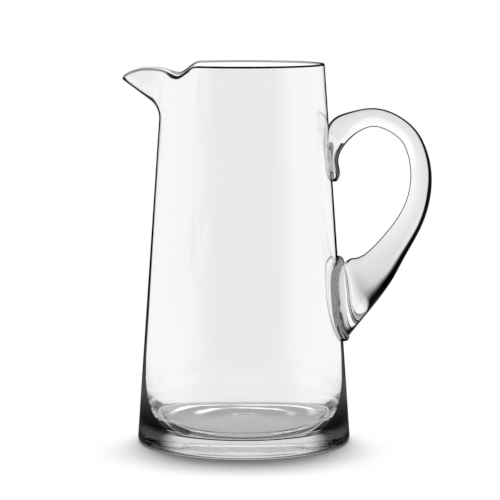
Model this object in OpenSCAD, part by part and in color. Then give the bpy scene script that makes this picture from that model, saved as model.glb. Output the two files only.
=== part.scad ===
/* [Body] */
// Height from the table to the level part of the rim
body_h = 254; // [200:1:320]
// Radius at the widest place, just above the foot
foot_r = 71.6; // [64:0.2:84]
// Radius at the level part of the rim
rim_r = 53.8; // [48:0.2:62]
// Thickness of the wall at the rim
rim_wall = 1.8; // [1.4:0.1:3]
// Thickness of the wall just above the base
low_wall = 2; // [1.6:0.1:4]
// Radius of the rounded edge of the foot
foot_round = 3; // [1.5:0.1:5]

/* [Base] */
// Height of the inside floor round its raised middle
base_t = 11.4; // [8:0.1:16]
// Width of the curve that leads the inside floor up into the wall
bowl_w = 7; // [5:0.2:8]
// Height of that curve
bowl_h = 28; // [22:0.5:42]
// Power of that curve, which is steeper where it leaves the wall for a higher one
bowl_power = 2.1; // [1.6:0.1:3]
// Width of the flat ring between that curve and the step to the raised middle
ring_w = 2.5; // [0.5:0.1:6]
// Width of the soft step up to the raised middle
step_w = 3; // [2:0.1:4]
// Height of that step
step_h = 2.2; // [0.6:0.1:3]
// Radius of the shallow hollow under the base
punt_r = 58; // [40:0.5:62]
// Width of the hollow's sloping edge
punt_edge = 7; // [3:0.5:12]
// Depth of that hollow
punt_d = 0.8; // [0.4:0.1:3]

/* [Spout] */
// Height of the pulled spout, from where it leaves the wall to the rim
spout_h = 37.4; // [33:0.2:46]
// Reach of the spout's tip beyond the wall
spout_reach = 25.5; // [18:0.5:30]
// Radius of the bend where the spout turns out of the wall
bend_r = 16; // [12:0.5:20]
// Slope of the spout's channel, from the level
spout_rise = 35; // [30:1:42]
// Angle from the spout's middle, seen from above, at which its beak is half as far out
beak_angle = 9; // [8:0.25:12]
// Angle from the spout's middle to the top of its lip
lip_angle = 11; // [9:0.5:14]
// Depth of the top of the lip below the rim
lip_drop = 3; // [1:0.1:5]
// Angle from the spout's middle to the dip beside it
dip_angle = 35; // [30:1:40]
// Depth of the dip below the rim
dip_drop = 7; // [4:0.1:9]
// How far the dip is drawn in towards the middle of the body
pinch_d = 1.7; // [0:0.1:2.5]
// Angle from the spout's middle at which the rim is round and level again
spout_angle = 56; // [50:1:66]

/* [Handle] */
// Gap from the wall to the far side of the handle
grip_reach = 66.4; // [56:0.2:76]
// Height of the top of the handle above the table
grip_top = 224; // [205:1:228]
// Height of the lowest glass of the handle above the table
grip_foot = 67.8; // [52:0.2:80]
// Thickness of the handle at its outermost place, seen from the side
grip_t = 14.4; // [11:0.2:17]
// Width of the handle at its outermost place, seen from the end
grip_w = 18; // [14:0.2:24]
// Width of the folded end that is pressed on the wall at the top
tongue_w = 32; // [24:0.5:38]
// Width of the large pad that is pressed on the wall at the bottom
pad_w = 60; // [44:0.5:66]
// Height of the pad
pad_h = 56.4; // [48:0.2:64]
// Thickness of the pad round its edge
pad_t = 4.2; // [3:0.1:6]

/* [Hidden] */

// The crown starts this far down inside the wall, and is this much thinner there on
// each side, so that it joins the lower body in one clean line
seam_lap = 1.5;
seam_step = 0.16;
// Half of the rim's thickness, which is the radius of its fire-polished edge
edge_r = rim_wall / 2;
// Sides of a round shape in the preview
round_sides = 120;

// Where the spout starts, and where its bend has turned into the sloping channel
spout_z = body_h - spout_h;
crown_z = spout_z - seam_lap;
bend_turn = 90 - spout_rise;
bend_out = bend_r * (1 - cos(bend_turn));
bend_up = bend_r * sin(bend_turn);
tip_up = bend_up + (spout_reach - bend_out) * tan(spout_rise);
tip_drop = spout_h - edge_r - tip_up;

// The beak's outline, seen from above, falls off with this power of the angle
beak_power = 2.6;

// Heights of the rim below its level part, at angles from the spout's middle
rim_stations = [
    [0, tip_drop],
    [lip_angle, lip_drop],
    [dip_angle, dip_drop],
    [spout_angle, 0]
];

// Steps round the body, close together at the beak, and up the spout's zone
beak_span = 2.25 * beak_angle;
beak_steps = 14;
dip_steps = 10;
back_steps = 22;
crown_rows = 14;
edge_steps = 6;
bowl_steps = 12;
step_steps = 6;
punt_steps = 6;
foot_steps = 6;

half_angles = concat(
    [for (i = [0:beak_steps - 1]) i * beak_span / beak_steps],
    [for (i = [0:dip_steps - 1]) beak_span + i * (spout_angle - beak_span) / dip_steps],
    [for (i = [0:back_steps]) spout_angle + i * (180 - spout_angle) / back_steps]
);
ring_angles = concat(
    half_angles,
    [for (i = [len(half_angles) - 2:-1:1]) 360 - half_angles[i]]
);

// Stations along the handle, from the folded end on the wall, up over the arch and
// down to the pad. Each row holds the place of the middle as a share of the reach
// from the wall and of the handle's height, the tilt of its section in degrees, its
// thickness as a share of grip_t, and how much of its width is grip_w, tongue_w and
// pad_w
grip_shares = [
    [0.015, 0.688, 180, 0.25, 0, 0.20, 0],
    [0.012, 0.700, 180, 0.48, 0, 0.62, 0],
    [0.020, 0.730, 180, 0.62, 0, 0.88, 0],
    [0.005, 0.777, 180, 0.53, 0, 0.98, 0],
    [0.030, 0.835, 163, 0.78, 0, 1.00, 0],
    [0.078, 0.889, 150, 1.18, 0, 1.00, 0],
    [0.158, 0.925, 136, 1.22, 0.40, 0.60, 0],
    [0.262, 0.944, 125, 1.02, 0.85, 0.18, 0],
    [0.378, 0.959, 106, 0.88, 1.00, 0, 0],
    [0.494, 0.962, 86, 0.86, 0.98, 0, 0],
    [0.634, 0.942, 68, 0.86, 0.96, 0, 0],
    [0.763, 0.902, 45, 0.85, 0.96, 0, 0],
    [0.843, 0.854, 28, 0.87, 0.97, 0, 0],
    [0.894, 0.772, 13, 0.94, 0.99, 0, 0],
    [0.896, 0.691, 0, 1.00, 1.00, 0, 0],
    [0.854, 0.603, -11, 1.05, 1.02, 0, 0],
    [0.757, 0.514, -19, 1.18, 1.08, 0, 0],
    [0.617, 0.432, -22, 1.35, 1.18, 0, 0],
    [0.495, 0.367, -24, 1.55, 1.14, 0, 0.04],
    [0.385, 0.312, -31, 1.85, 0.86, 0, 0.16],
    [0.276, 0.284, -43, 2.30, 0.50, 0, 0.35],
    [0.146, 0.249, -50, 2.92, 0.20, 0, 0.53],
    [0.062, 0.158, -52, 2.22, 0, 0, 0.63],
    [-0.005, 0.090, -59, 1.72, 0, 0, 0.55],
    [-0.040, 0.041, -64, 1.10, 0, 0, 0.33],
    [-0.050, 0.017, -66, 0.55, 0, 0, 0.13]
];
grip_steps = 3;
grip_sides = 24;
grip_h = grip_top - grip_foot;

// Rings of the pad, from inside the wall to the middle of its face. Each row holds the
// share of the pad's outline and of its thickness.
pad_shares = [
    [1.00, -0.25],
    [1.00, 0.35],
    [0.985, 0.72],
    [0.945, 0.94],
    [0.87, 1.00],
    [0.50, 1.05],
    [0.03, 1.06]
];
pad_sides = 36;
// Powers that square off the pad's sides, its top and its bottom
pad_side_power = 0.75;
pad_top_power = 0.5;
pad_foot_power = 0.9;

function ease(t) = (1 - cos(180 * min(1, max(0, t)))) / 2;
function from_middle(a) = a > 180 ? 360 - a : a;
function outer_r(z) = foot_r + (rim_r - foot_r) * (z - foot_round) / (body_h - foot_round);
function wall_t(z) = low_wall + (rim_wall - low_wall) * z / body_h;
function inner_r(z) = outer_r(z) - wall_t(z);

// Outer radius of the step to the raised middle of the inside floor
step_r = inner_r(base_t) - bowl_w - ring_w;

// Value at angle a in a table of angles and values, with an even ease between rows
function eased(a, table, i = 0) =
    i >= len(table) - 1 ? table[i][1]
    : a > table[i + 1][0] ? eased(a, table, i + 1)
    : table[i][1] + (table[i + 1][1] - table[i][1])
        * ease((a - table[i][0]) / (table[i + 1][0] - table[i][0]));

// Height of the outside edge under the rounded rim
function edge_z(a) = body_h - edge_r - eased(from_middle(a), rim_stations);

// How far the spout's underside stands out of the wall, at height up above its start
function spout_out(up) =
    up <= 0 ? 0
    : up < bend_up ? bend_r - sqrt(bend_r * bend_r - up * up)
    : bend_out + (up - bend_up) / tan(spout_rise);

function beak(a) = (1 - ease(a / spout_angle)) / (1 + pow(a / beak_angle, beak_power));
function pinch(a, up) =
    a > spout_angle ? 0 : pinch_d * pow(max(0, up) / spout_h, 2) * pow(sin(180 * a / spout_angle), 2);
function seam_inset(s) = seam_step * (1 - s);

// Point of the crown's outside at angle a from the spout's middle and share s up
function crown_point(a, s) =
    let (
        m = from_middle(a < 0 ? -a : a),
        z = crown_z + s * (edge_z(m) - crown_z),
        up = z - spout_z,
        r = outer_r(z) - seam_inset(s) + spout_out(up) * beak(m) - pinch(m, up)
    )
    [-r * cos(a), -r * sin(a), z];

function unit(v) = v / norm(v);
nudge_angle = 0.05;
nudge_share = 0.002;
function crown_side(a, s) = crown_point(a + nudge_angle, s) - crown_point(a - nudge_angle, s);
function crown_rise(a, s) = crown_point(a, s + nudge_share) - crown_point(a, s - nudge_share);
function crown_normal(a, s) = unit(cross(crown_side(a, s), crown_rise(a, s)));

function crown_inside(a, s) =
    let (p = crown_point(a, s)) p - (wall_t(p[2]) - 2 * seam_inset(s)) * crown_normal(a, s);

// The closed section of the crown's wall at one angle: outside, rounded edge, inside
function crown_section(a) =
    let (
        top_out = crown_point(a, 1),
        top_in = crown_inside(a, 1),
        middle = (top_out + top_in) / 2,
        side = (top_out - top_in) / 2,
        up = unit(cross(cross(side, crown_rise(a, 1)), side)) * norm(side)
    )
    concat(
        [for (j = [0:crown_rows]) crown_point(a, j / crown_rows)],
        [for (k = [1:edge_steps - 1])
            middle + cos(180 * k / edge_steps) * side + sin(180 * k / edge_steps) * up],
        [for (j = [crown_rows:-1:0]) crown_inside(a, j / crown_rows)]
    );

// Triangles that join rows of points into a ring, which closes in both directions
function ring_faces(rows, sides) = [
    for (i = [0:rows - 1], j = [0:sides - 1])
        let (
            a = i * sides + j,
            b = i * sides + (j + 1) % sides,
            c = ((i + 1) % rows) * sides + (j + 1) % sides,
            d = ((i + 1) % rows) * sides + j
        )
        for (f = [[a, b, c], [a, c, d]]) f
];

// Triangles that join rows of points into a tube, with a flat end at each end
function tube_faces(rows, sides) = concat(
    [for (i = [0:rows - 2], j = [0:sides - 1])
        let (
            a = i * sides + j,
            b = i * sides + (j + 1) % sides,
            c = (i + 1) * sides + (j + 1) % sides,
            d = (i + 1) * sides + j
        )
        for (f = [[a, b, c], [a, c, d]]) f],
    [for (j = [1:sides - 2]) [0, j + 1, j]],
    [for (j = [1:sides - 2]) [(rows - 1) * sides, (rows - 1) * sides + j, (rows - 1) * sides + j + 1]]
);

// A smooth value between rows of a table, at place t in rows
function smooth_row(table, t) =
    let (
        last = len(table) - 1,
        i = min(last - 1, floor(t)),
        f = t - i,
        p0 = table[max(0, i - 1)],
        p1 = table[i],
        p2 = table[i + 1],
        p3 = table[min(last, i + 2)]
    )
    (2 * p1 + f * (p2 - p0) + f * f * (2 * p0 - 5 * p1 + 4 * p2 - p3)
        + f * f * f * (3 * p1 - p0 - 3 * p2 + p3)) / 2;

// The oval section of the handle at place t along its table
function grip_section(t) =
    let (
        row = smooth_row(grip_shares, t),
        z = grip_foot + row[1] * grip_h,
        x = outer_r(z) + row[0] * grip_reach,
        half_t = row[3] * grip_t / 2,
        half_w = (row[4] * grip_w + row[5] * tongue_w + row[6] * pad_w) / 2
    )
    [for (k = [0:grip_sides - 1])
        let (turn = 360 * k / grip_sides)
        [
            x + half_t * cos(turn) * cos(row[2]),
            half_w * sin(turn),
            z + half_t * cos(turn) * sin(row[2])
        ]
    ];

function signed_pow(v, power) = sign(v) * pow(abs(v), power);

// A ring of the pad, bent round the wall
function pad_ring(row) =
    [for (k = [0:pad_sides - 1])
        let (
            turn = 360 * k / pad_sides,
            across = -row[0] * signed_pow(cos(turn), pad_side_power) * pad_w / 2,
            up_power = sin(turn) > 0 ? pad_top_power : pad_foot_power,
            z = grip_foot + pad_h / 2 + row[0] * signed_pow(sin(turn), up_power) * pad_h / 2,
            r = outer_r(z) + row[1] * pad_t,
            a = across / outer_r(z) * 180 / PI
        )
        [r * cos(a), r * sin(a), z]
    ];

// The blown body below the spout, with its thick base
module lower_body() {
    rotate_extrude($fn = round_sides)
        polygon(concat(
            [for (k = [0:punt_steps])
                let (s = k / punt_steps) [punt_r - punt_edge * (1 - s), punt_d * (1 - ease(s))]],
            [for (k = [0:foot_steps])
                let (turn = 90 * k / foot_steps - 90)
                [foot_r - foot_round + foot_round * cos(turn), foot_round + foot_round * sin(turn)]],
            [[outer_r(spout_z), spout_z], [inner_r(spout_z), spout_z]],
            [for (k = [0:bowl_steps])
                let (s = k / bowl_steps, z = base_t + bowl_h * (1 - s))
                [inner_r(z) - bowl_w * pow(s, bowl_power), z]],
            [for (k = [0:step_steps])
                let (s = k / step_steps) [step_r - step_w * s, base_t + step_h * ease(s)]],
            [[0, base_t + step_h], [0, punt_d]]
        ));
}

// The top of the body, with the rounded rim and the pulled spout
module crown() {
    polyhedron(
        points = [for (a = ring_angles) for (p = crown_section(a)) p],
        faces = ring_faces(len(ring_angles), 2 * crown_rows + edge_steps + 1),
        convexity = 4
    );
}

// The blown glass vessel
module vessel() {
    color([0.86, 0.90, 0.91, 0.4]) {
        lower_body();
        crown();
    }
}

// Everything inside the vessel's outside wall, which the handle is pressed against
module wall_form() {
    rotate_extrude($fn = round_sides)
        polygon([
            [0, foot_round],
            [foot_r, foot_round],
            [rim_r, body_h],
            [0, body_h]
        ]);
}

// The strap of the handle, with its folded end at the top and its root at the bottom
module strap() {
    rows = (len(grip_shares) - 1) * grip_steps + 1;
    polyhedron(
        points = [for (i = [0:rows - 1]) for (p = grip_section(i / grip_steps)) p],
        faces = tube_faces(rows, grip_sides),
        convexity = 6
    );
}

// The pad that the root of the strap spreads into
module pad() {
    polyhedron(
        points = [for (row = pad_shares) for (p = pad_ring(row)) p],
        faces = tube_faces(len(pad_shares), pad_sides),
        convexity = 4
    );
}

// The handle, one gather of glass pressed on the wall at both ends
module handle() {
    color([0.78, 0.84, 0.86, 0.6])
        difference() {
            union() {
                strap();
                pad();
            }
            wall_form();
        }
}

vessel();
handle();
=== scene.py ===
"""Cocktail pitcher: the blown vessel and its applied handle in clear glass, on a white stage."""

import math

import bmesh
import bpy
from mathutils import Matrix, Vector


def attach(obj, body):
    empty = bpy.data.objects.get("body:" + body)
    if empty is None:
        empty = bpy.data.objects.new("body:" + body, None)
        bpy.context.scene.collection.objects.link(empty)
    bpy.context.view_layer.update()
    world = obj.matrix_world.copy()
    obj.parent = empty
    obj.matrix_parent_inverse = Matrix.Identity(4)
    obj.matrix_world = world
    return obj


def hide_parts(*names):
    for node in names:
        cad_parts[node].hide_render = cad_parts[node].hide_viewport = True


bl_info = {
    "name": "Cocktail Pitcher",
    "version": (1, 0, 0),
    "blender": (4, 5, 0),
    "location": "3D View > Sidebar > Pitcher",
    "description": "Builds a tall glass pitcher round its packed frame",
    "category": "Add Mesh",
}

BODY = "root"
MM = 0.001
# Vertices closer than this are merged, and heights closer than the next are the same
WELD = 0.001 * MM
SLACK = 0.05 * MM
# Between off and on, or no bounce and one
HALF = 0.5
WHITE = (1.0, 1.0, 1.0, 1.0)
BLACK = (0.0, 0.0, 0.0, 1.0)

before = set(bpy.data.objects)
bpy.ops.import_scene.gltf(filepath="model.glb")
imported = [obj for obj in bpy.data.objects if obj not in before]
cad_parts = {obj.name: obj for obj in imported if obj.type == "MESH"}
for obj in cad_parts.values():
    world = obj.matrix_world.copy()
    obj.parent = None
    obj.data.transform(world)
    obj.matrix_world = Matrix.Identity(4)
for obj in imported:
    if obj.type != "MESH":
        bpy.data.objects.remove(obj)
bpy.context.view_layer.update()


def length(name, description, default_mm):
    """A length of the pitcher, given in millimetres and kept in metres."""
    return bpy.props.FloatProperty(
        name=name,
        description=description,
        default=default_mm * MM,
        min=0.0,
        precision=5,
        subtype="DISTANCE",
        unit="LENGTH",
    )


def angle(name, description, default_degrees):
    """An angle, given in degrees and kept in radians."""
    return bpy.props.FloatProperty(
        name=name,
        description=description,
        default=math.radians(default_degrees),
        subtype="ANGLE",
        unit="ROTATION",
    )


def number(name, description, default, low=0.0, high=100.0):
    """A plain number without a unit."""
    return bpy.props.FloatProperty(
        name=name, description=description, default=default, min=low, max=high
    )


def colour(name, description, default):
    """A colour in linear red, green and blue."""
    return bpy.props.FloatVectorProperty(
        name=name,
        description=description,
        default=default,
        size=3,
        min=0.0,
        max=1.0,
        subtype="COLOR",
    )


class VesselSettings(bpy.types.PropertyGroup):
    """Sizes of the blown vessel"""

    height: length("Height", "From the table to the level part of the rim", 254)
    foot_radius: length("Foot radius", "Radius at the widest place, just above the foot", 71.6)
    rim_radius: length("Rim radius", "Radius at the level part of the rim", 53.8)
    rim_wall: length("Rim wall", "Thickness of the wall at the rim", 1.8)
    low_wall: length("Low wall", "Thickness of the wall at its foot", 2)
    foot_round: length("Foot rounding", "Radius of the rounded edge of the foot", 3)
    base: length("Base", "Height of the floor round its raised middle", 11.4)
    ring_width: length("Ring width", "Flat ring round the floor's step", 2.5)
    step_height: length("Step height", "How far the middle of the floor is raised", 2.2)
    step_width: length("Step width", "Width of the soft step round the middle", 3)
    bowl_width: length("Bowl width", "Width of the curve from the floor up into the wall", 7)
    bowl_height: length("Bowl height", "Height of the curve from the floor up into the wall", 28)
    bowl_power: number("Bowl power", "Power of the curve from the floor up into the wall", 2.1)
    hollow_radius: length("Hollow radius", "Radius of the shallow hollow under the base", 58)
    hollow_edge: length("Hollow edge", "Width of the hollow's sloping edge", 7)
    hollow_depth: length("Hollow depth", "Depth of the hollow under the base", 0.8)
    spout_height: length("Spout height", "From the spout's start on the wall to the rim", 37.4)
    spout_reach: length("Spout reach", "Reach of the spout's tip beyond the wall", 25.5)
    bend_radius: length("Bend radius", "Radius of the bend where the spout leaves the wall", 16)
    spout_rise: angle("Spout rise", "Slope of the spout's channel, from the level", 35)
    beak_angle: angle("Beak angle", "Angle from the middle to where the beak is half out", 9)
    beak_power: number("Beak power", "How steeply the beak falls off to its sides", 2.6)
    lip_angle: angle("Lip angle", "Angle from the spout's middle to the top of its lip", 11)
    lip_drop: length("Lip drop", "Depth of the top of the lip below the rim", 3)
    dip_angle: angle("Dip angle", "Angle from the spout's middle to the dip beside it", 35)
    dip_drop: length("Dip drop", "Depth of the dip below the rim", 7)
    pinch: length("Pinch", "How far the dip is drawn in towards the axis", 1.7)
    spout_angle: angle("Spout angle", "Angle from the spout's middle to the round rim", 56)
    sides: bpy.props.IntProperty(
        name="Sides", description="Steps round the body", default=256, min=48, max=360
    )


class HandleSettings(bpy.types.PropertyGroup):
    """Sizes of the applied handle"""

    reach: length("Reach", "Gap from the wall to the far side of the handle", 66.4)
    top: length("Top", "Height of the handle's top above the table", 224)
    foot: length("Foot", "Height of the handle's lowest glass above the table", 67.8)
    thickness: length("Thickness", "Thickness at the outermost place, seen from the side", 14.4)
    width: length("Width", "Width at the outermost place, seen from the end", 18)
    tongue_width: length("Tongue width", "Width of the folded end at the top", 32)
    pad_width: length("Pad width", "Width of the pad pressed on the wall at the bottom", 60)
    pad_height: length("Pad height", "Height of the pad", 56.4)
    pad_thickness: length("Pad thickness", "Thickness of the pad round its edge", 4.2)
    seat_depth: length("Seat depth", "How far the seats are sunk into the wall", 0.4)
    sides: bpy.props.IntProperty(
        name="Sides", description="Steps round the handle", default=96, min=24, max=160
    )


class GlassSettings(bpy.types.PropertyGroup):
    """Look of the glass"""

    vessel_tint: colour("Vessel tint", "Colour of the vessel's glass", (0.99, 0.99, 0.99))
    handle_tint: colour("Handle tint", "Colour of the handle's glass", (0.99, 0.99, 0.99))
    deep_tint: colour("Deep tint", "Colour of its faint streaks", (0.975, 0.975, 0.975))
    # Colour of the painted shade at the glass's dark edges
    painted_edge_colour: colour("Edge tint", "Colour at the dark edges", (0.0, 0.0, 0.0))
    index: number("Index of refraction", "Bending of light by the vessel", 1.52, 1.0, 2.0)
    handle_index: number("Handle's index", "Bending of light by the handle", 1.3, 1.0, 2.0)
    vessel_waver: number("Vessel waver", "Strength of the faint waves in the blown wall", 0.02)
    handle_waver: number("Handle waver", "Strength of the waves in the hand-drawn handle", 0.05)


class StageSettings(bpy.types.PropertyGroup):
    """Camera, floor and light"""

    distance: length("Camera distance", "From the pitcher's axis to the camera, along Y", 1555.44)
    camera_height: length("Camera height", "Height of the camera above the table", 317.28)
    camera_side: length("Camera side", "How far the camera stands to the side", 4.16)
    tilt: angle("Camera tilt", "Angle that the camera looks down", 6.9074)
    lens: number("Lens", "Focal length for a sensor 36 mm wide, in millimetres", 168.0, 1.0, 400.0)
    floor_size: length("Floor size", "Half the width of the floor", 4000)
    shadow_reach: length("Shadow reach", "How far the shadow reaches from the foot", 75)
    shadow_lean: angle("Shadow lean", "How far from upright the light comes, from behind", 55)


def settings():
    """The vessel's, handle's, glass's and stage's settings."""
    scene = bpy.context.scene
    return scene.pitcher_vessel, scene.pitcher_handle, scene.pitcher_glass, scene.pitcher_stage


def clamped(t):
    """A value kept between 0 and 1."""
    return min(1.0, max(0.0, t))


def signed_power(value, power):
    """A power of a value's size, with the value's sign."""
    return math.copysign(abs(value) ** power, value)


def ease(t):
    """An even ease from 0 to 1."""
    return (1 - math.cos(math.pi * clamped(t))) / 2


def eased(value, table):
    """The value at a place in a table of places and values, with an even ease between rows."""
    for (place, first), (next_place, second) in zip(table, table[1:]):
        if value <= next_place:
            return first + (second - first) * ease((value - place) / (next_place - place))
    return table[-1][1]


def smooth_row(table, t):
    """A smooth row between the rows of a table, at place t in rows."""
    last = len(table) - 1
    i = min(last - 1, int(t))
    f = t - i
    rows = (table[max(0, i - 1)], table[i], table[i + 1], table[min(last, i + 2)])
    made = []
    for a, b, c, d in zip(*rows):
        square = 2 * a - 5 * b + 4 * c - d
        cube = 3 * b - a - 3 * c + d
        made.append((2 * b + f * (c - a) + f * f * square + f**3 * cube) / 2)
    return made


def spaced(first, last, steps):
    """Even values from first to last, both included."""
    return [first + (last - first) * i / steps for i in range(steps + 1)]


# Small steps round the crown, in radians, and up it, in shares, that give its slope
SIDE_NUDGE = 0.0008
RISE_NUDGE = 0.002


class VesselForm:
    """The formulas of the vessel's surfaces"""

    def __init__(self, vessel):
        self.v = vessel
        self.edge = vessel.rim_wall / 2
        self.spout_z = vessel.height - vessel.spout_height
        bend = math.pi / 2 - vessel.spout_rise
        self.bend_out = vessel.bend_radius * (1 - math.cos(bend))
        self.bend_up = vessel.bend_radius * math.sin(bend)
        self.slope = math.tan(vessel.spout_rise)
        tip_up = self.bend_up + (vessel.spout_reach - self.bend_out) * self.slope
        tip_drop = vessel.spout_height - self.edge - tip_up
        self.rim_stations = [
            (0.0, tip_drop),
            (vessel.lip_angle, vessel.lip_drop),
            (vessel.dip_angle, vessel.dip_drop),
            (vessel.spout_angle, 0.0),
        ]

    def outer_r(self, z):
        """Radius of the outside wall at height z."""
        v = self.v
        taper = v.rim_radius - v.foot_radius
        return v.foot_radius + taper * (z - v.foot_round) / (v.height - v.foot_round)

    def wall(self, z):
        """Thickness of the wall at height z."""
        return self.v.low_wall + (self.v.rim_wall - self.v.low_wall) * z / self.v.height

    def inner_r(self, z):
        """Radius of the inside wall at height z."""
        return self.outer_r(z) - self.wall(z)

    def edge_z(self, turn):
        """Height of the outside edge under the rounded rim."""
        return self.v.height - self.edge - eased(turn, self.rim_stations)

    def spout_out(self, up):
        """How far the spout's underside stands out of the wall, at height up above its start."""
        if up <= 0:
            return 0.0
        if up < self.bend_up:
            return self.v.bend_radius - math.sqrt(self.v.bend_radius**2 - up * up)
        return self.bend_out + (up - self.bend_up) / self.slope

    def beak(self, turn):
        """How much of the spout's reach is left at an angle from its middle."""
        v = self.v
        return (1 - ease(turn / v.spout_angle)) / (1 + (turn / v.beak_angle) ** v.beak_power)

    def pinch(self, turn, up):
        """How far the rim is drawn in beside the spout."""
        v = self.v
        if turn > v.spout_angle or up <= 0:
            return 0.0
        return v.pinch * (up / v.spout_height) ** 2 * math.sin(math.pi * turn / v.spout_angle) ** 2

    def crown_point(self, around, share):
        """Point of the crown's outside, at an angle from the spout and a share of its height."""
        turn = abs(around)
        if turn > math.pi:
            turn = 2 * math.pi - turn
        z = self.spout_z + share * (self.edge_z(turn) - self.spout_z)
        up = z - self.spout_z
        r = self.outer_r(z) + self.spout_out(up) * self.beak(turn) - self.pinch(turn, up)
        return Vector((-r * math.cos(around), -r * math.sin(around), z))

    def bent(self, co):
        """A point of the plain round crown, moved to where the spout's shape puts it."""
        flat_edge = self.v.height - self.edge
        level = min(co.z, flat_edge)
        share = (level - self.spout_z) / (flat_edge - self.spout_z)
        depth = self.outer_r(level) - math.hypot(co.x, co.y)
        lift = max(0.0, co.z - flat_edge)
        around = math.atan2(-co.y, -co.x)
        side = self.crown_point(around + SIDE_NUDGE, share)
        side = side - self.crown_point(around - SIDE_NUDGE, share)
        rise = self.crown_point(around, share + RISE_NUDGE)
        rise = rise - self.crown_point(around, share - RISE_NUDGE)
        normal = side.cross(rise).normalized()
        up = (rise - normal * rise.dot(normal)).normalized()
        return self.crown_point(around, share) - normal * depth + up * lift


# Steps of the vessel's section, from under the axis, over the rim and down to the floor
HOLLOW_STEPS = 8
HOLLOW_EDGE_STEPS = 12
RING_STEPS = 4
FOOT_STEPS = 10
WALL_STEPS = 48
CROWN_STEPS = 36
RIM_STEPS = 12
INSIDE_STEPS = 42
BOWL_STEPS = 32
RAISE_STEPS = 10
FLOOR_STEPS = 10


def outside_places(form):
    """Places (radius, height) of the vessel's section, from under the axis to the rim's edge."""
    v = form.v
    flat_edge = v.height - form.edge
    flat_hollow = v.hollow_radius - v.hollow_edge
    places = [(r, v.hollow_depth) for r in spaced(0.0, flat_hollow, HOLLOW_STEPS)]
    for share in spaced(0.0, 1.0, HOLLOW_EDGE_STEPS)[1:]:
        z = v.hollow_depth * (1 - ease(share))
        places.append((flat_hollow + v.hollow_edge * share, z))
    flat_r = v.foot_radius - v.foot_round
    places += [(r, 0.0) for r in spaced(v.hollow_radius, flat_r, RING_STEPS)[1:]]
    for turn in spaced(0.0, math.pi / 2, FOOT_STEPS)[1:]:
        z = v.foot_round * (1 - math.cos(turn))
        places.append((flat_r + v.foot_round * math.sin(turn), z))
    places += [(form.outer_r(z), z) for z in spaced(v.foot_round, form.spout_z, WALL_STEPS)[1:]]
    places += [(form.outer_r(z), z) for z in spaced(form.spout_z, flat_edge, CROWN_STEPS)[1:]]
    return places


def inside_places(form):
    """Places (radius, height) of the section from the rim to the middle of the floor."""
    v = form.v
    flat_edge = v.height - form.edge
    bowl_z = v.base + v.bowl_height
    places = [(form.outer_r(flat_edge) - 2 * form.edge, flat_edge)]
    places += [(form.inner_r(z), z) for z in spaced(flat_edge, form.spout_z, CROWN_STEPS)[1:]]
    places += [(form.inner_r(z), z) for z in spaced(form.spout_z, bowl_z, INSIDE_STEPS)[1:]]
    for share in spaced(0.0, 1.0, BOWL_STEPS)[1:]:
        z = bowl_z - v.bowl_height * share
        places.append((form.inner_r(z) - v.bowl_width * share**v.bowl_power, z))
    floor_r = places[-1][0]
    step_r = floor_r - v.ring_width
    places += [(r, v.base) for r in spaced(floor_r, step_r, RING_STEPS)[1:]]
    for share in spaced(0.0, 1.0, RAISE_STEPS)[1:]:
        places.append((step_r - v.step_width * share, v.base + v.step_height * ease(share)))
    middle_r = step_r - v.step_width
    places += [(r, v.base + v.step_height) for r in spaced(middle_r, 0.0, FLOOR_STEPS)[1:]]
    return places


def vessel_profile(form):
    """Places of the vessel's whole section, from under the axis, round the rim, to the floor."""
    flat_edge = form.v.height - form.edge
    middle = form.outer_r(flat_edge) - form.edge
    rim = []
    for turn in spaced(0.0, math.pi, RIM_STEPS)[1:-1]:
        rim.append((middle + form.edge * math.cos(turn), flat_edge + form.edge * math.sin(turn)))
    return outside_places(form) + rim + inside_places(form)


def new_object(bm, name, material):
    """An object of the scene, made from a bmesh."""
    mesh = bpy.data.meshes.new(name)
    bm.to_mesh(mesh)
    bm.free()
    mesh.materials.append(material)
    made = bpy.data.objects.new(name, mesh)
    bpy.context.scene.collection.objects.link(made)
    return made


def finish_piece(bm, name, material, node):
    """Makes a bmesh into a named piece that rides on the body and stands for a node."""
    piece = new_object(bm, name, material)
    piece.data.shade_smooth()
    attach(piece, BODY)
    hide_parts(node)


# A ray that has passed fewer surfaces than this has only been through solid glass
SOLID_SURFACES = 3.5


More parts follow.
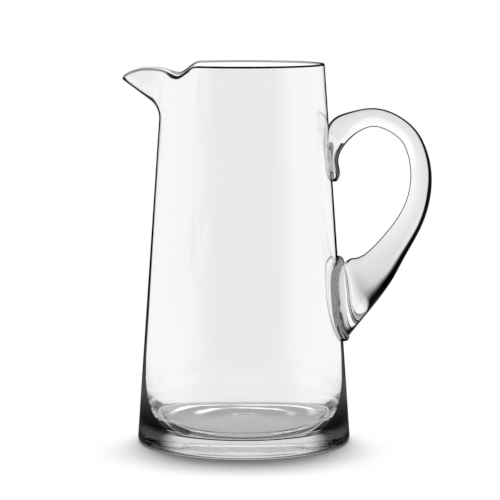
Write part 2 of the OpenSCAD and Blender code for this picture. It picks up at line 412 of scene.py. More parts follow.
class Sums:
    """Fills one node tree, with chains of math nodes"""

    def __init__(self, tree):
        tree.nodes.clear()
        self.nodes = tree.nodes
        self.links = tree.links

    def feed(self, value, socket):
        """Links an output to a socket, or sets a plain value on it."""
        if isinstance(value, bpy.types.NodeSocket):
            self.links.new(value, socket)
        else:
            socket.default_value = value

    def node(self, kind, inputs=None, **values):
        """A shader node with some of its properties set, then some of its inputs fed."""
        node = self.nodes.new("ShaderNode" + kind)
        for key, value in values.items():
            setattr(node, key, value)
        for key, value in (inputs or {}).items():
            self.feed(value, node.inputs[key])
        return node

    def math(self, operation, first, second=0.0):
        """One math node."""
        return self.node("Math", {0: first, 1: second}, operation=operation).outputs["Value"]

    def times(self, *values):
        """The product of several values."""
        made = values[0]
        for value in values[1:]:
            made = self.math("MULTIPLY", made, value)
        return made

    def rest(self, value):
        """One less a value."""
        return self.math("SUBTRACT", 1.0, value)

    def mix(self, share, first, second, data_type="FLOAT"):
        """A mix of two values, or of two colours with the type RGBA."""
        inputs = {"Factor": share, "A": first, "B": second}
        return self.node("Mix", inputs, data_type=data_type).outputs["Result"]

    def cover(self, share, shader, other):
        """A shader with a share of another one over it."""
        return self.node("MixShader", {"Fac": share, 1: shader, 2: other}).outputs["Shader"]

    def rise(self, value, low, high, first=0.0, last=1.0):
        """A smooth change from first at low to last at high."""
        inputs = {"Value": value, "From Min": low, "From Max": high}
        inputs.update({"To Min": first, "To Max": last})
        return self.node("MapRange", inputs, interpolation_type="SMOOTHSTEP").outputs["Result"]

    def ramp(self, value, table):
        """Two values that follow a table of a place and two values."""
        node = self.node("ValToRGB", {"Fac": value})
        stops = node.color_ramp.elements
        for i, (place, first, last) in enumerate(table):
            stop = stops[i] if i < len(stops) else stops.new(place)
            stop.position = place
            stop.color = (first, last, 0.0, 1.0)
        parts = self.node("SeparateColor", {"Color": node.outputs["Color"]})
        return parts.outputs["Red"], parts.outputs["Green"]

    def paths(self):
        """Shares that are 1 for one kind of ray: straight through solid glass, straight through
        the hollow body, reflected in solid glass, reflected in the body, mirrored outside."""
        path = self.node("LightPath").outputs
        seen = self.math("LESS_THAN", path["Diffuse Depth"], HALF)
        through = self.times(path["Is Transmission Ray"], seen)
        turned = self.math("GREATER_THAN", path["Glossy Depth"], HALF)
        solid = self.math("LESS_THAN", path["Transmission Depth"], SOLID_SURFACES)
        return (
            self.times(through, self.rest(turned), solid),
            self.times(through, self.rest(turned), self.rest(solid)),
            self.times(through, turned, solid),
            self.times(through, turned, self.rest(solid)),
            self.times(path["Is Glossy Ray"], self.rest(path["Is Transmission Ray"]), seen),
        )

    def by_path(self, *lights):
        """Brightness for each kind of ray, and 1 for all others."""
        made = 1.0
        for share, light in zip(self.paths(), lights):
            made = self.mix(share, made, light)
        return made


# The noise of the glass's waves
WAVE_DETAIL = 1.0
WAVE_ROUGHNESS = 0.3


def waver_group():
    """A node group for hand-worked glass: soft long waves, and a faint change of tint."""
    name = "hand_worked_glass"
    if name in bpy.data.node_groups:
        return bpy.data.node_groups[name]
    group = bpy.data.node_groups.new(name, "ShaderNodeTree")
    for socket, way, kind in (
        ("Vector", "INPUT", "Vector"),
        ("Wave size", "INPUT", "Float"),
        ("Tint", "INPUT", "Color"),
        ("Deep tint", "INPUT", "Color"),
        ("Height", "OUTPUT", "Float"),
        ("Colour", "OUTPUT", "Color"),
    ):
        group.interface.new_socket(socket, in_out=way, socket_type="NodeSocket" + kind)
    sums = Sums(group)
    given = sums.nodes.new("NodeGroupInput").outputs
    made = sums.nodes.new("NodeGroupOutput").inputs
    inputs = {
        "Vector": given["Vector"],
        "Scale": given["Wave size"],
        "Detail": WAVE_DETAIL,
        "Roughness": WAVE_ROUGHNESS,
    }
    waves = sums.node("TexNoise", inputs).outputs["Fac"]
    sums.feed(waves, made["Height"])
    sums.feed(sums.mix(waves, given["Tint"], given["Deep tint"], "RGBA"), made["Colour"])
    return group


# How far the wall has turned away from the eye where its painted dark edge starts and is full, by
# the height as a share of the rim's
WALL_EDGE_SHARES = [
    (0.0, 0.0, 0.02),
    (0.003, 0.0, 0.02),
    (0.006, 0.16, 0.42),
    (0.042, 0.18, 0.42),
    (0.058, 0.26, 0.32),
    (0.068, 0.34, 0.38),
    (0.082, 0.42, 0.46),
    (0.098, 0.50, 0.54),
    (0.116, 0.57, 0.61),
    (0.145, 0.65, 0.69),
    (0.174, 0.71, 0.74),
    (0.24, 0.75, 0.78),
    (0.376, 0.76, 0.785),
    (0.512, 0.78, 0.805),
    (0.648, 0.795, 0.825),
    (0.92, 0.815, 0.84),
    (1.0, 0.825, 0.85),
]
# How much painted black shade covers those dark edges, from the foot to the rim: low down they let
# a little light out
WALL_PAINTED_BLACK_SHARES = [(0.0, 0.0), (0.1, 0.0), (0.2, 0.8), (1.0, 0.8)]
# Zones of the vessel's painted dark edges, by X or Z as shares of its height, and the values at
# both
# ends: the neck under the spout, the spout's tip and lip, the dip beside it, the foot's corner,
# and the inside
NECK_X_SHARES = (-0.24213, -0.21063, 1.0, 0.0)
NECK_Z_SHARES = (0.85433, 0.88976)
TIP_X_SHARES = (-0.30906, -0.30118, 1.0, 0.0)
LIP_X_SHARES = (-0.20472, -0.18504, 0.55, 1.0)
DIP_X_SHARES = (-0.20866, -0.18504)
DIP_END_X_SHARES = (-0.14567, -0.12992, 1.0, 0.0)
CORNER_Z_SHARES = (0.03937, 0.07087, 0.9, 1.0)
INNER_Z_SHARES = (0.19685, 0.39370, 0.9, 0.5)
# How far the surface has turned away where the painted dark starts and is full, in the neck and
# the tip
NECK_DARK = (0.4, 0.55)
TIP_DARK = (0.2, 0.5)
# How strong the rim's mark is where its painted dark line starts and is full, on the round rim and
# in the dip
RIM_LINE = (0.76, 0.92)
DIP_LINE = (0.15, 0.5)
# Marks on the vessel's vertices: its outside, and the painted dark lines at its rim and at the
# floor's step
OUTSIDE = "outside"
RIM = "rim"
# How far from the rim and from the step its painted dark line fades out
RIM_REACH = 2.5 * MM
# A mark on both pieces: how much painted black shade covers their dark edges
PAINTED_BLACK = "painted_black"
# How dark an edge is where the painted black is first mixed in, and where it is full
PAINTED_BLACK_DARK = (0.3, 1.0)
# A mark on both pieces: where one is fused to the other, so that no surface is left between them
FUSED = "fused"


def mark(sums, name):
    """A value kept on the vertices."""
    return sums.node("Attribute", attribute_name=name).outputs["Fac"]


def front_side(sums):
    """1 where a surface is seen from outside the glass, 0 where it is seen from within."""
    return sums.rest(sums.node("NewGeometry").outputs["Backfacing"])


def split_place(sums, kind):
    """A texture coordinate, and its X, Y and Z."""
    place = sums.node("TexCoord").outputs[kind]
    return (place, *sums.node("SeparateXYZ", {"Vector": place}).outputs)


def wall_edge(sums, facing, height):
    """Where shade is painted on the vessel: its outside seen at a low angle, and dark lines at its
    rim and at the floor's step.
    """
    _place, x, _y, z = split_place(sums, "Object")
    x = sums.math("DIVIDE", x, height)
    z = sums.math("DIVIDE", z, height)
    low, high = sums.ramp(z, WALL_EDGE_SHARES)
    neck = sums.times(sums.rise(x, *NECK_X_SHARES), sums.rise(z, *NECK_Z_SHARES))
    tip = sums.rise(x, *TIP_X_SHARES)
    for zone, (zone_low, zone_high) in ((neck, NECK_DARK), (tip, TIP_DARK)):
        low = sums.mix(zone, low, zone_low)
        high = sums.mix(zone, high, zone_high)
    outside = mark(sums, OUTSIDE)
    corner = sums.rise(z, *CORNER_Z_SHARES)
    wall = sums.times(sums.rise(facing, low, high), outside, corner)
    lip = sums.rise(x, *LIP_X_SHARES)
    dip = sums.times(sums.rise(x, *DIP_X_SHARES), sums.rise(x, *DIP_END_X_SHARES))
    line = [sums.mix(dip, plain, folded) for plain, folded in zip(RIM_LINE, DIP_LINE)]
    inner = sums.rise(z, *INNER_Z_SHARES)
    rim = sums.times(sums.rise(mark(sums, RIM), *line), front_side(sums), lip)
    return sums.math("MAXIMUM", wall, sums.times(rim, sums.mix(outside, inner, 1.0)))


# Marks on the handle's vertices: where its painted dark edge starts, where it is full, and how
# much painted grey shade it has
DARK_FROM = "dark_from"
DARK_FULL = "dark_full"
PAINTED_SHADE = "painted_shade"


def grip_edge(sums, facing, _height):
    """Where shade is painted on the handle: a broad band on its outer side, a thin line elsewhere.
    """
    dark = sums.rise(facing, mark(sums, DARK_FROM), mark(sums, DARK_FULL))
    return sums.mix(dark, sums.times(front_side(sums), mark(sums, PAINTED_SHADE)), 1.0)


def edged_glass(sums, glass, dark):
    """The glass, covered with painted black shade at its dark edges, and left out where the pieces
    are fused.
    """
    black = sums.node("BsdfDiffuse", {"Color": BLACK}).outputs["BSDF"]
    painted_black = sums.times(sums.rise(dark, *PAINTED_BLACK_DARK), mark(sums, PAINTED_BLACK))
    clear = sums.node("BsdfTransparent").outputs["BSDF"]
    fused = sums.math("GREATER_THAN", mark(sums, FUSED), HALF)
    return sums.cover(fused, sums.cover(painted_black, glass, black), clear)


def glass_material(name, look, tint, waver, wave_size, stretch, index, edge, height):
    """Clear glass with the faint waves of hand work, and painted dark edges that stand in for the
    shade at the edges of thick glass.
    """
    material = bpy.data.materials.new(name)
    material.use_nodes = True
    sums = Sums(material.node_tree)
    out = sums.node("OutputMaterial")
    place = sums.node("TexCoord").outputs["Object"]
    inputs = {
        "Vector": sums.node("Mapping", {"Vector": place, "Scale": stretch}).outputs["Vector"],
        "Wave size": wave_size,
        "Tint": (*tint, 1.0),
        "Deep tint": (*look.deep_tint, 1.0),
    }
    worked = sums.node("Group", inputs, node_tree=waver_group()).outputs
    bump = sums.node("Bump", {"Strength": waver, "Distance": MM, "Height": worked["Height"]})
    # Painted shade: the tint turns to the edge colour where the surface turns away from the eye
    dark = edge(sums, sums.node("LayerWeight").outputs["Facing"], height)
    clear = sums.rest(dark)
    edge_share = sums.rest(sums.times(clear, clear))
    inputs = {
        "Base Color": sums.mix(edge_share, worked["Colour"], (*look.painted_edge_colour, 1.0), "RGBA"),
        "Transmission Weight": 1.0,
        "Metallic": 0.0,
        "Roughness": 0.0,
        "IOR": index,
        "Normal": bump.outputs["Normal"],
    }
    glass = sums.node("BsdfPrincipled", inputs).outputs["BSDF"]
    sums.feed(edged_glass(sums, glass, dark), out.inputs["Surface"])
    return material


def new_marks(bm, *names):
    """New marks on the vertices of a mesh."""
    return [bm.verts.layers.float.new(name) for name in names]


def mark_vessel(bm, form, shape):
    """Marks the vertices of the round vessel, before its crown is bent."""
    v = form.v
    outside, rim, fused, painted_black = new_marks(bm, OUTSIDE, RIM, FUSED, PAINTED_BLACK)
    step_r = form.inner_r(v.base) - v.bowl_width - v.ring_width
    floor_z = v.base + v.step_height - SLACK
    for vert in bm.verts:
        z = vert.co.z
        r = math.hypot(vert.co.x, vert.co.y)
        # How much painted black shade covers the dark edges, by height, and the painted dark line
        # at the rim
        vert[painted_black] = eased(z / v.height, WALL_PAINTED_BLACK_SHARES)
        vert[rim] = clamped(1.0 - (v.height - form.edge - z) / RIM_REACH)
        if z > SLACK and r > form.outer_r(z) - form.wall(z) / 2:
            vert[outside] = 1.0
            vert[fused] = shape.cover(vert.co)
        elif v.hollow_depth < z < floor_z:
            # A painted dark line round the floor's step
            vert[rim] = max(0.0, 1.0 - abs(r - step_r) / RIM_REACH)


# Waves of the glass to a metre, and how they are scaled along each axis
VESSEL_WAVES = 18.0
VESSEL_STRETCH = (1.0, 1.0, 0.35)
HANDLE_WAVES = 30.0
HANDLE_STRETCH = (1.0, 1.0, 1.0)


class PITCHER_OT_vessel(bpy.types.Operator):
    """Build the blown vessel: base, wall, rim and spout in one piece"""

    bl_idname = "pitcher.vessel"
    bl_label = "Vessel"

    def execute(self, context):
        vessel, handle, glass, _stage = settings()
        form = VesselForm(vessel)
        bm = bmesh.new()
        line = [bm.verts.new((r, 0.0, z)) for r, z in vessel_profile(form)]
        for first, second in zip(line, line[1:]):
            bm.edges.new((first, second))
        bmesh.ops.spin(
            bm,
            geom=bm.verts[:] + bm.edges[:],
            cent=(0.0, 0.0, 0.0),
            axis=(0.0, 0.0, 1.0),
            angle=2 * math.pi,
            steps=vessel.sides,
            use_merge=True,
        )
        bmesh.ops.remove_doubles(bm, verts=bm.verts[:], dist=WELD)
        bmesh.ops.recalc_face_normals(bm, faces=bm.faces[:])
        mark_vessel(bm, form, HandleForm(handle, form))
        for vert in bm.verts:
            if vert.co.z > form.spout_z:
                vert.co = form.bent(vert.co)
        material = glass_material(
            "vessel_glass",
            glass,
            glass.vessel_tint,
            glass.vessel_waver,
            VESSEL_WAVES,
            VESSEL_STRETCH,
            glass.index,
            wall_edge,
            vessel.height,
        )
        finish_piece(bm, "blown_vessel", material, "vessel")
        return {"FINISHED"}


# Stations along the handle, from the folded end on the wall, over the arch and down to the pad:
# shares of the reach and of the height for the middle, the tilt of its section in degrees, a share
# of the thickness, and shares of the handle's, the tongue's and the pad's width
GRIP_SHARES = [
    (0.015, 0.688, 180, 0.25, 0, 0.20, 0),
    (0.012, 0.700, 180, 0.48, 0, 0.62, 0),
    (0.020, 0.730, 180, 0.62, 0, 0.88, 0),
    (0.005, 0.777, 180, 0.53, 0, 0.98, 0),
    (0.030, 0.835, 163, 0.78, 0, 1.00, 0),
    (0.078, 0.889, 150, 1.18, 0, 1.00, 0),
    (0.158, 0.925, 136, 1.22, 0.40, 0.60, 0),
    (0.262, 0.944, 125, 1.02, 0.85, 0.18, 0),
    (0.378, 0.959, 106, 0.88, 1.00, 0, 0),
    (0.494, 0.962, 86, 0.86, 0.98, 0, 0),
    (0.634, 0.942, 68, 0.86, 0.96, 0, 0),
    (0.763, 0.902, 45, 0.85, 0.96, 0, 0),
    (0.843, 0.854, 28, 0.87, 0.97, 0, 0),
    (0.894, 0.772, 13, 0.94, 0.99, 0, 0),
    (0.896, 0.691, 0, 1.00, 1.00, 0, 0),
    (0.854, 0.603, -11, 1.05, 1.02, 0, 0),
    (0.757, 0.514, -19, 1.18, 1.08, 0, 0),
    (0.617, 0.432, -22, 1.35, 1.18, 0, 0),
    (0.495, 0.367, -24, 1.55, 1.14, 0, 0.04),
    (0.385, 0.312, -31, 1.85, 0.86, 0, 0.16),
    (0.276, 0.284, -43, 2.30, 0.50, 0, 0.35),
    (0.146, 0.249, -50, 2.92, 0.20, 0, 0.53),
]
# The table is drawn out to this many rows for each of its own, and smoothed this many times
FINE_ROWS = 10
FINE_PASSES = 40
# Where along the table the strap starts to spread into the pad
ROOT_STATION = 19.6
# How far before that the strap's course is read, and the blend's pull towards the pad
ROOT_STEP = 0.25
BLEND_PULL = 0.8
# The pad's edge and seat: share of its outline, and of its thickness
PAD_SHARES = [(0.87, 1.00), (0.945, 0.94), (0.985, 0.72), (1.00, 0.35), (1.00, 0.0)]
# How far inside the pad's edge its surface is read, as a share of its outline
PAD_STEP_SHARE = 0.05
# Powers that round the pad's outline: across, and along its upper and its lower half
PAD_ACROSS_POWER = 0.75
PAD_UPPER_POWER = 0.5
PAD_LOWER_POWER = 0.9
# The tongue's last station, and how many places up to it are tried for a point
TONGUE_STATIONS = 8.0
TONGUE_STEPS = 80
# Levels beyond the tongue's end and past its last station, where 1 is the outline
END_LEVEL = 1.3
FAR_LEVEL = 4.0
# How far below the handle's foot a seat is looked for
FOOT_MARGIN = 5 * MM


class HandleForm:
    """The formulas of the handle's surface"""

    def __init__(self, handle, form):
        self.h = handle
        self.form = form
        self.height = handle.top - handle.foot
        last = len(GRIP_SHARES) - 1
        self.fine = [smooth_row(GRIP_SHARES, t) for t in spaced(0.0, last, last * FINE_ROWS)]
        for _ in range(FINE_PASSES):
            neighbours = zip(self.fine, self.fine[1:], self.fine[2:])
            smoothed = [[(a + 2 * b + c) / 4 for a, b, c in zip(*rows)] for rows in neighbours]
            self.fine = [self.fine[0], *smoothed, self.fine[-1]]

    def section(self, t):
        """The strap's section at a place along its table: the height of its middle and its gap
        from the wall, its lean, and half its thickness and its width."""
        h = self.h
        out, up, tilt, thick, grip, tongue, pad = smooth_row(self.fine, t * FINE_ROWS)
        half_t = thick * h.thickness / 2
        half_w = (grip * h.width + tongue * h.tongue_width + pad * h.pad_width) / 2
        return h.foot + up * self.height, out * h.reach, math.radians(tilt), half_t, half_w

    def strap_point(self, turn, t):
        """Point of the strap at an angle round its section and a place along its table."""
        z, gap, lean, half_t, half_w = self.section(t)
        x = self.form.outer_r(z) + gap
        out = half_t * math.cos(turn)
        y = half_w * math.sin(turn)
        return Vector((x + out * math.cos(lean), y, z + out * math.sin(lean)))

    def cap_point(self, turn, share):
        """Point of the strap's closed first end, a share of the way out from its middle."""
        middle = (self.strap_point(0.0, 0.0) + self.strap_point(math.pi, 0.0)) / 2
        return middle.lerp(self.strap_point(turn, 0.0), share)

    def pad_point(self, turn, outline, thick):
        """Point over the pad at an angle round it, a share of its outline, and off the wall."""
        h = self.h
        across = outline * signed_power(math.sin(turn), PAD_ACROSS_POWER) * h.pad_width / 2
        power = PAD_UPPER_POWER if math.cos(turn) < 0 else PAD_LOWER_POWER
        up = -outline * signed_power(math.cos(turn), power) * h.pad_height / 2
        z = h.foot + h.pad_height / 2 + up
        r = self.form.outer_r(z) + thick
        a = across / self.form.outer_r(z)
        return Vector((r * math.cos(a), r * math.sin(a), z))

    def blend_point(self, turn, s):
        """Point between the strap's root and the pad's edge, a share s of the way."""
        start = self.strap_point(turn, ROOT_STATION)
        before = self.strap_point(turn, ROOT_STATION - ROOT_STEP)
        outline, thick = PAD_SHARES[0]
        thick *= self.h.pad_thickness
        end = self.pad_point(turn, outline, thick)
        inside = self.pad_point(turn, outline - PAD_STEP_SHARE, thick)
        gap = (end - start).length
        leave = (start - before).normalized() * gap
        straight = (end - start).normalized()
        low = max(0.0, math.cos(turn)) ** 2
        along = (end - inside).normalized()
        arrive = (along * (1 - low) + straight * low).normalized() * gap * BLEND_PULL
        s2, s3 = s * s, s**3
        place = start * (2 * s3 - 3 * s2 + 1) + leave * (s3 - 2 * s2 + s)
        return place + end * (3 * s2 - 2 * s3) + arrive * (s3 - s2)

    def cover(self, co):
        """How far a place on the wall is inside a seat's outline: above a half, it is covered."""
        if co.x < 0 or co.z < self.h.foot - FOOT_MARGIN:
            return 0.0
        return max(0.0, 1.0 - min(self.pad_level(co), self.strap_level(co)) / 2)

    def pad_level(self, co):
        """1 on the pad's outline, and less inside it."""
        h = self.h
        across = abs(math.atan2(co.y, co.x)) * self.form.outer_r(co.z) / (h.pad_width / 2)
        up = (co.z - h.foot) / (h.pad_height / 2) - 1
        power = PAD_UPPER_POWER if up > 0 else PAD_LOWER_POWER
        return across ** (2 / PAD_ACROSS_POWER) + abs(up) ** (2 / power)

    def strap_level(self, co):
        """1 on the outline of the strap's section that a place lies in, and less inside it."""
        for t in spaced(0.0, TONGUE_STATIONS, TONGUE_STEPS):
            z, gap, lean, half_t, half_w = self.section(t)
            x = co.x - self.form.outer_r(z) - gap
            if x * math.sin(lean) >= (co.z - z) * math.cos(lean):
                if t == 0.0:
                    return END_LEVEL
                across = math.hypot(x, co.z - z) / half_t
                deep = co.y / half_w
                return across * across + deep * deep
        return FAR_LEVEL

    def pressed(self, co):
        """A point that is no deeper in the wall than the seat."""
        r = math.hypot(co.x, co.y)
        seat = self.form.outer_r(co.z) - self.h.seat_depth
        if r >= seat:
            return co
        return Vector((co.x * seat / r, co.y * seat / r, co.z))


# Painted shade on the handle, by the station along it: how far its outer side has turned away from
# the eye where the painted dark starts and is full, and how much painted grey shade its outer and
# its inner sides get
GRIP_EDGE_SHARES = [
    (0.0, 0.60, 0.68, 0.18, 0.18),
    (5.0, 0.60, 0.68, 0.24, 0.10),
    (8.0, 0.60, 0.68, 0.27, 0.00),
    (11.0, 0.50, 0.60, 0.27, 0.00),
    (13.0, 0.34, 0.46, 0.27, 0.00),
    (14.5, 0.22, 0.38, 0.29, 0.00),
    (16.0, 0.25, 0.42, 0.30, 0.04),
    (17.0, 0.20, 0.42, 0.31, 0.10),
    (18.0, 0.14, 0.42, 0.32, 0.14),
    (19.0, 0.10, 0.38, 0.32, 0.18),
    (19.8, 0.08, 0.38, 0.38, 0.18),
    (20.25, 0.06, 0.34, 0.70, 0.14),
    (20.6, 0.60, 0.70, 0.10, 0.10),
    (21.1, 0.60, 0.70, 0.00, 0.10),
    (21.5, 0.40, 0.60, 0.30, 0.10),
    (22.0, 0.50, 0.65, 0.45, 0.30),
    (22.3, 0.60, 0.70, 0.62, 0.60),
    (24.0, 0.60, 0.70, 0.62, 0.60),
]
# How much painted black shade covers the handle's dark edges, by the station along it
GRIP_PAINTED_BLACK_SHARES = [(0.0, 0.25), (4.0, 0.25), (6.0, 0.75), (10.0, 0.75)]
GRIP_PAINTED_BLACK_SHARES += [(12.0, 0.9), (19.5, 0.9), (20.3, 0.0), (22.3, 0.3)]
# How far the handle's inner side has turned away where its painted dark starts and is full, by the
# station where each part ends: the tongue, the strap, and the pad, which has no painted dark line
INNER_EDGES = [(4.6, (0.3, 0.5)), (20.6, (0.66, 0.72)), (24.0, (1.2, 1.3))]
# How fast the outer side's painted shade turns into the inner side's, round the handle
OUTER_SLOPE = 2


def grip_dark(station, turn):
    """Where the painted dark starts and is full, and the painted grey shade, at a station and an
    angle round it.
    """
    for (first, *lows), (last, *highs) in zip(GRIP_EDGE_SHARES, GRIP_EDGE_SHARES[1:]):
        if station <= last:
            break
    share = clamped((station - first) / (last - first))
    low, high, outer_shade, inner_shade = (a + (b - a) * share for a, b in zip(lows, highs))
    thin_low, thin_high = next(edge for end, edge in INNER_EDGES if station <= end)
    outer = clamped(HALF + OUTER_SLOPE * math.cos(turn))
    low = thin_low + (low - thin_low) * outer
    high = thin_high + (high - thin_high) * outer
    return low, high, inner_shade + (outer_shade - inner_shade) * (1 + math.cos(turn)) / 2


# Rows of the handle's mesh: over its closed end, along the strap and the blend, and over the pad's
# edge and its seat
CAP_SHARES = (0.0, 0.4, 0.75)
STRAP_ROWS = 260
BLEND_ROWS = 44
EDGE_ROWS = 24
SEAT_ROWS = 24
# How many stations the blend takes up, and those of the pad's edge and seat
BLEND_STATIONS = 2
EDGE_STATION = 22.0
SEAT_STATION = 24.0


def handle_rows(shape):
    """Rows of the handle's mesh: the station, and the function and values that give its points."""
    h = shape.h
    rows = [(0.0, shape.cap_point, (share,)) for share in CAP_SHARES]
    rows += [(t, shape.strap_point, (t,)) for t in spaced(0.0, ROOT_STATION, STRAP_ROWS)]
    for s in spaced(0.0, 1.0, BLEND_ROWS)[1:]:
        rows.append((ROOT_STATION + BLEND_STATIONS * s, shape.blend_point, (s,)))
    for t in spaced(0.0, len(PAD_SHARES) - 1, EDGE_ROWS)[1:]:
        share, thick = smooth_row(PAD_SHARES, t)
        rows.append((EDGE_STATION + t / 2, shape.pad_point, (share, thick * h.pad_thickness)))
    for share in spaced(1.0, 0.0, SEAT_ROWS):
        rows.append((SEAT_STATION, shape.pad_point, (share, -h.seat_depth)))
    return rows


def shape_handle(bm, shape):
    """Moves a grid's vertices to the handle's surface, and marks them."""
    h = shape.h
    rows = handle_rows(shape)
    bmesh.ops.create_grid(bm, x_segments=h.sides, y_segments=len(rows) - 1, size=HALF)
    marks = new_marks(bm, DARK_FROM, DARK_FULL, PAINTED_SHADE, PAINTED_BLACK, FUSED)
    dark_from, dark_full, painted_shade, painted_black, fused = marks
    for vert in bm.verts:
        around = round((vert.co.x + HALF) * h.sides)
        along = round((vert.co.y + HALF) * (len(rows) - 1))
        turn = 2 * math.pi * (around % h.sides) / h.sides
        station, point, values = rows[along]
        vert.co = shape.pressed(point(turn, *values))
        # Painted shade: where the dark edge starts and is full, the grey shade, and how much black
        # covers the edges
        vert[dark_from], vert[dark_full], vert[painted_shade] = grip_dark(station, turn)
        vert[painted_black] = eased(station, GRIP_PAINTED_BLACK_SHARES)
        seat = shape.form.outer_r(vert.co.z) - h.seat_depth / 2
        if math.hypot(vert.co.x, vert.co.y) < seat:
            vert[fused] = 1.0


class PITCHER_OT_handle(bpy.types.Operator):
    """Build the solid glass handle, from its folded tongue to its pad"""

    bl_idname = "pitcher.handle"
    bl_label = "Handle"

    def execute(self, context):
        vessel, handle, glass, _stage = settings()
        bm = bmesh.new()
        shape_handle(bm, HandleForm(handle, VesselForm(vessel)))
        bmesh.ops.remove_doubles(bm, verts=bm.verts[:], dist=WELD)
        bmesh.ops.recalc_face_normals(bm, faces=bm.faces[:])
        material = glass_material(
            "handle_glass",
            glass,
            glass.handle_tint,
            glass.handle_waver,
            HANDLE_WAVES,
            HANDLE_STRETCH,
            glass.handle_index,
            grip_edge,
            handle.top,
        )
        finish_piece(bm, "applied_handle", material, "handle")
        return {"FINISHED"}


# Brightness of the table under the base, by a share of the reach from the axis: where the glass
# gathers light in rings, and where it doesn't
RING_SHARES = [
    (0.0, 0.45, 0.45),
    (0.13, 0.45, 0.45),
    (0.17, 1.3, 0.45),
    (0.22, 0.4, 0.4),
    (0.44, 0.38, 0.38),
    (0.48, 1.9, 0.38),
    (0.52, 1.9, 0.38),
    (0.56, 0.38, 0.38),
    (0.66, 0.3, 0.34),
    (0.70, 1.9, 0.34),
    (0.73, 1.9, 0.34),
    (0.77, 0.34, 0.34),
    (0.93, 0.4, 0.4),
    (1.0, 1.0, 1.0),
]
RING_REACH = 80 * MM
# Noise that bends the rings, and noise that picks the patches where they show
BEND_WAVES = 35.0
BEND_DETAIL = 2.0
BEND_REACH = 14 * MM
PATCH_WAVES = 22.0
PATCH_DETAIL = 1.0
PATCH_SHARES = (0.34, 0.52)
# Ranges from -1 in front of the pitcher to 1 behind it, with the light at both ends unless that is
# 0 and 1: the rings, the table's brighter front, and reflections at the sides, the back and right
# behind
RING_BACK_SHARES = (-0.2, 0.5)
GLOW_BACK_SHARES = (-0.8, 0.3, 1.55, 1.0)
SIDE_SHARES = (-0.85, -0.2)
BACK_SHARES = (0.1, 0.6)
BEHIND_SHARES = (0.84, 0.91, 1.0, 0.0)
# How much of it the sides of the floor and of the world have
FLOOR_SIDES = 0.8
WORLD_SIDES = 0.75
# The floor's light for mirrored rays, by distance, and under a share of open sky, for the shadow
MIRRORED_REACH = (150 * MM, 500 * MM, 0.05, 1.0)
SHADOW_SHARES = (0.40, 0.83, 0.16, 1.0)
SHADOW_SAMPLES = 16
# The world's light by height, for rays through solid glass and for those reflected in the body
SOLID_SHARES = (0.5, 0.8, 1.12, 0.02)
LOW_SHARES = (0.0, 0.08, 1.0, 0.5)
# The camera's sensor in millimetres, and how often light may bounce
SENSOR = 36.0
BOUNCES = 24
GLOSSY_BOUNCES = 12


def noise(sums, place, waves, detail):
    """Noise at a place."""
    inputs = {"Vector": place, "Scale": waves, "Detail": detail}
    return sums.node("TexNoise", inputs).outputs["Fac"]


def around_axis(sums, x, y):
    """How far something is from the axis, and how far back it lies."""
    away = sums.math("SQRT", sums.math("ADD", sums.times(x, x), sums.times(y, y)))
    return away, sums.math("DIVIDE", y, away)


def reflected_light(sums, back, sides):
    """Light for rays reflected in solid glass, in the hollow body, and by an outside."""
    around = sums.rise(back, *SIDE_SHARES, 0.0, sides)
    in_hollow = sums.math("ADD", around, sums.rise(back, *BACK_SHARES, 0.0, 1.0 - sides))
    mirrored = sums.times(in_hollow, sums.rise(back, *BEHIND_SHARES))
    return around, in_hollow, mirrored


def ring_light(sums, place, away, back):
    """Light of the table seen through the base: rings of gathered light, in patches."""
    bend = sums.times(noise(sums, place, BEND_WAVES, BEND_DETAIL), BEND_REACH)
    bent = sums.math("ADD", away, bend)
    rings, calm = sums.ramp(sums.math("DIVIDE", bent, RING_REACH), RING_SHARES)
    patches = sums.rise(noise(sums, place, PATCH_WAVES, PATCH_DETAIL), *PATCH_SHARES)
    lit = sums.times(patches, sums.rise(back, *RING_BACK_SHARES))
    return sums.times(sums.mix(lit, calm, rings), sums.rise(back, *GLOW_BACK_SHARES))


def foot_shadow(sums, stage):
    """The soft shadow round the foot, which falls to the front."""
    lean = {"Y": math.sin(stage.shadow_lean), "Z": math.cos(stage.shadow_lean)}
    normal = sums.node("CombineXYZ", lean).outputs["Vector"]
    inputs = {"Distance": stage.shadow_reach, "Normal": normal}
    near = sums.node("AmbientOcclusion", inputs, samples=SHADOW_SAMPLES)
    return sums.rise(near.outputs["AO"], *SHADOW_SHARES)


def floor_material(stage):
    """A white floor that gives each kind of ray its own light."""
    material = bpy.data.materials.new("white_floor")
    material.use_nodes = True
    sums = Sums(material.node_tree)
    out = sums.node("OutputMaterial")
    place, x, y, _z = split_place(sums, "Object")
    away, back = around_axis(sums, x, y)
    around, in_hollow, mirrored = reflected_light(sums, back, FLOOR_SIDES)
    mirrored = sums.times(mirrored, sums.rise(away, *MIRRORED_REACH))
    light = sums.by_path(1.0, ring_light(sums, place, away, back), around, in_hollow, mirrored)
    path = sums.node("LightPath").outputs
    shadow = sums.mix(path["Is Camera Ray"], 1.0, foot_shadow(sums, stage))
    diffuse = sums.node("BsdfDiffuse", {"Color": WHITE}).outputs["BSDF"]
    glow = sums.node("Emission", {"Strength": sums.times(light, shadow)}).outputs["Emission"]
    straight = sums.math("LESS_THAN", path["Diffuse Depth"], HALF)
    sums.feed(sums.cover(straight, diffuse, glow), out.inputs["Surface"])
    return material


def add_floor(stage):
    """The floor under the pitcher, not attached to its body."""
    bm = bmesh.new()
    bmesh.ops.create_grid(bm, x_segments=1, y_segments=1, size=stage.floor_size)
    floor = new_object(bm, "floor", floor_material(stage))


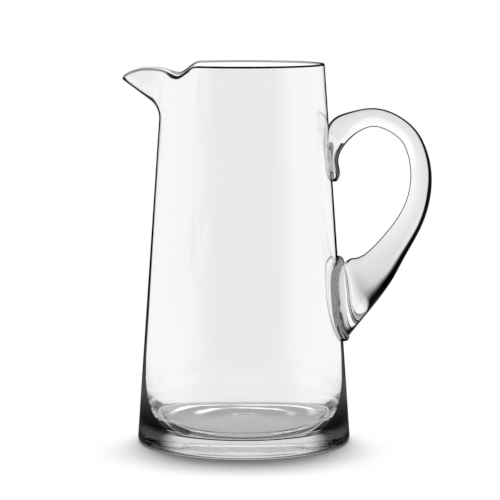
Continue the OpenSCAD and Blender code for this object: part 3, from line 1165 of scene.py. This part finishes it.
def add_world(scene):
    """A white studio that gives each kind of ray its own light."""
    world = bpy.data.worlds.new("white_studio")
    scene.world = world
    world.use_nodes = True
    sums = Sums(world.node_tree)
    out = sums.node("OutputWorld")
    _place, x, y, z = split_place(sums, "Generated")
    _level, back = around_axis(sums, x, y)
    around, in_hollow, mirrored = reflected_light(sums, back, WORLD_SIDES)
    in_solid = sums.rise(z, *SOLID_SHARES)
    turned = sums.times(in_hollow, sums.rise(z, *LOW_SHARES))
    light = sums.by_path(in_solid, 1.0, around, turned, mirrored)
    sky = sums.node("Background", {"Color": WHITE, "Strength": light})
    sums.feed(sky.outputs["Background"], out.inputs["Surface"])


def add_camera(scene, stage):
    """The camera, at the place that was fitted to the base and the rim."""
    lens = bpy.data.cameras.new("camera")
    lens.lens = stage.lens
    lens.sensor_width = SENSOR
    camera = bpy.data.objects.new("camera", lens)
    scene.collection.objects.link(camera)
    camera.location = (stage.camera_side, -stage.distance, stage.camera_height)
    camera.rotation_euler = (math.pi / 2 - stage.tilt, 0.0, 0.0)
    scene.camera = camera


class PITCHER_OT_stage(bpy.types.Operator):
    """Set up the floor, the light and the camera"""

    bl_idname = "pitcher.stage"
    bl_label = "Stage"

    def execute(self, context):
        stage = settings()[3]
        scene = context.scene
        add_floor(stage)
        add_world(scene)
        add_camera(scene, stage)
        scene.view_settings.view_transform = "Standard"
        scene.cycles.max_bounces = BOUNCES
        scene.cycles.transmission_bounces = BOUNCES
        scene.cycles.glossy_bounces = GLOSSY_BOUNCES
        return {"FINISHED"}


class PITCHER_PT_panel(bpy.types.Panel):
    """The pitcher's steps and settings"""

    bl_label = "Cocktail Pitcher"
    bl_idname = "PITCHER_PT_panel"
    bl_space_type = "VIEW_3D"
    bl_region_type = "UI"
    bl_category = "Pitcher"

    def draw(self, context):
        for operator in OPERATORS:
            self.layout.operator(operator.bl_idname)
        for group in settings():
            box = self.layout.box()
            for key in group.bl_rna.properties.keys():
                if key not in ("rna_type", "name"):
                    box.prop(group, key)


SETTINGS = {
    "pitcher_vessel": VesselSettings,
    "pitcher_handle": HandleSettings,
    "pitcher_glass": GlassSettings,
    "pitcher_stage": StageSettings,
}
OPERATORS = (PITCHER_OT_vessel, PITCHER_OT_handle, PITCHER_OT_stage)
CLASSES = (*SETTINGS.values(), *OPERATORS, PITCHER_PT_panel)


def register():
    for cls in CLASSES:
        bpy.utils.register_class(cls)
    for name, group in SETTINGS.items():
        setattr(bpy.types.Scene, name, bpy.props.PointerProperty(type=group))


def unregister():
    for name in SETTINGS:
        delattr(bpy.types.Scene, name)
    for cls in reversed(CLASSES):
        bpy.utils.unregister_class(cls)


def main():
    register()
    bpy.ops.pitcher.vessel()
    bpy.ops.pitcher.handle()
    bpy.ops.pitcher.stage()


if __name__ == "__main__":
    main()
